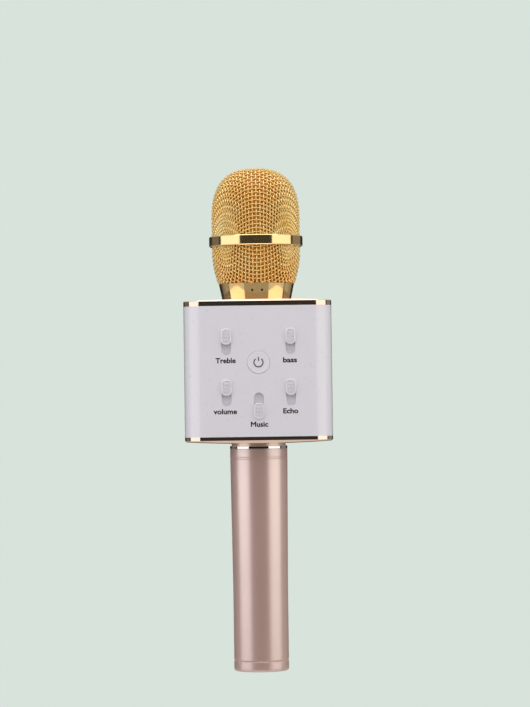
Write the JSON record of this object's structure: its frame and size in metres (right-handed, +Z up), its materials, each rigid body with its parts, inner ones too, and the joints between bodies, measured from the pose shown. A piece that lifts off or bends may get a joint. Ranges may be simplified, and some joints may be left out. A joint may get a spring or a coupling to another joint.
{
  "type": "karaoke microphone",
  "caption": "Handheld karaoke microphone: woven gold grille head, square control box with slide knobs and rear speaker, round battery handle.",
  "frame": {"origin": "centre of the flat end face of the handle, where the microphone stands", "axes": "+Z up along the handle towards the grille; the control panel faces -Y and the speaker +Y; ports on +X"},
  "size_m": [0.0722, 0.0561, 0.2474],
  "materials": {
    "gold_wire": "bright gold-plated woven wire",
    "polished_gold": "mirror-polished gold",
    "rose_gold_polished": "mirror-polished rose gold",
    "rose_gold_satin": "fine satin anodised rose gold",
    "bright_ring": "mirror",
    "liner_gold": "fine woven mesh, amber gold",
    "foam": "open-cell foam",
    "body_white": "semi-gloss cool white",
    "knob_white": "semi-gloss cool white",
    "black_rubber": "matt",
    "rose_silicone": "smooth, rose tinted",
    "black_plastic": "matt",
    "board": "solder-masked",
    "component": "moulded",
    "steel": "zinc-plated",
    "magnet": "black-plated",
    "paper_cone": "pressed pulp",
    "brass": "turned",
    "cell_wrap": "plastic-wrapped can"
  },
  "bodies": {
    "body": {"head_socket": "brass", "capsule_cup": "black_plastic", "capsule_boot": "black_rubber", "capsule": "steel", "top_plate": "rose_gold_polished", "bottom_plate": "rose_gold_polished", "box_sleeve": "body_white", "speaker_grille": "rose_gold_satin", "speaker_frame": "steel", "speaker_surround": "black_rubber", "speaker_cone": "paper_cone", "speaker_magnet": "magnet", "chassis": "black_plastic", "control_board": "board", "board_screws": "steel", "tact_switch": "component", "main_board": "board", "audio_jack": "component", "usb_port": "steel", "handle_neck": "rose_gold_satin", "neck_nut": "steel", "chrome_ring": "bright_ring", "handle_collar": "rose_gold_satin", "trim_ring": "rose_gold_satin", "handle_tube": "rose_gold_satin", "battery_cell": "cell_wrap", "battery_sleeve": "black_plastic", "battery_contact": "brass", "treble_pot": "component", "bass_pot": "component", "volume_pot": "component", "echo_pot": "component", "music_pot": "component"},
    "head": {"grille_upper": "gold_wire", "grille_lower": "gold_wire", "grille_band": "polished_gold", "grille_collar": "polished_gold", "grille_liner": "liner_gold", "foam_windscreen": "foam"},
    "seal_ring": {"seal_ring": "black_rubber"},
    "power_button": {"power_button": "knob_white"},
    "cap_seal": {"cap_seal": "rose_silicone"},
    "end_cap": {"end_cap": "rose_gold_satin", "contact_spring": "steel"},
    "treble_knob": {"treble_knob": "knob_white"},
    "bass_knob": {"bass_knob": "knob_white"},
    "volume_knob": {"volume_knob": "knob_white"},
    "echo_knob": {"echo_knob": "knob_white"},
    "music_knob": {"music_knob": "knob_white"}
  },
  "joints": [
    {"name": "treble_slide", "type": "slide", "parent": "body", "child": "treble_knob", "axis": [0, 0, 1], "range_m": [-0.005, 0]},
    {"name": "bass_slide", "type": "slide", "parent": "body", "child": "bass_knob", "axis": [0, 0, 1], "range_m": [-0.005, 0]},
    {"name": "volume_slide", "type": "slide", "parent": "body", "child": "volume_knob", "axis": [0, 0, 1], "range_m": [-0.005, 0]},
    {"name": "echo_slide", "type": "slide", "parent": "body", "child": "echo_knob", "axis": [0, 0, 1], "range_m": [-0.005, 0]},
    {"name": "music_slide", "type": "slide", "parent": "body", "child": "music_knob", "axis": [0, 0, 1], "range_m": [0, 0.005]},
    {"name": "power_press", "type": "slide", "parent": "body", "child": "power_button", "axis": [0, 1, 0], "range_m": [0, 0.00055], "stiffness_N_per_m": 300},
    {"name": "head_turn", "type": "hinge", "parent": "body", "child": "seal_ring", "pos_m": [0, 0, 0.1828], "axis": [0, 0, 1], "range_deg": [0, 1080]},
    {"name": "head_rise", "type": "slide", "parent": "seal_ring", "child": "head", "axis": [0, 0, 1], "range_m": [0, 0.0046]},
    {"name": "cap_turn", "type": "hinge", "parent": "body", "child": "cap_seal", "pos_m": [0, 0, 0.0052], "axis": [0, 0, -1], "range_deg": [0, 1080]},
    {"name": "cap_drop", "type": "slide", "parent": "cap_seal", "child": "end_cap", "axis": [0, 0, -1], "range_m": [0, 0.0046]}
  ],
  "couplings": [
    {"joint": "head_rise", "follows": "head_turn", "m_per_rad": 0.00023873},
    {"joint": "cap_drop", "follows": "cap_turn", "m_per_rad": 0.00023873}
  ]
}
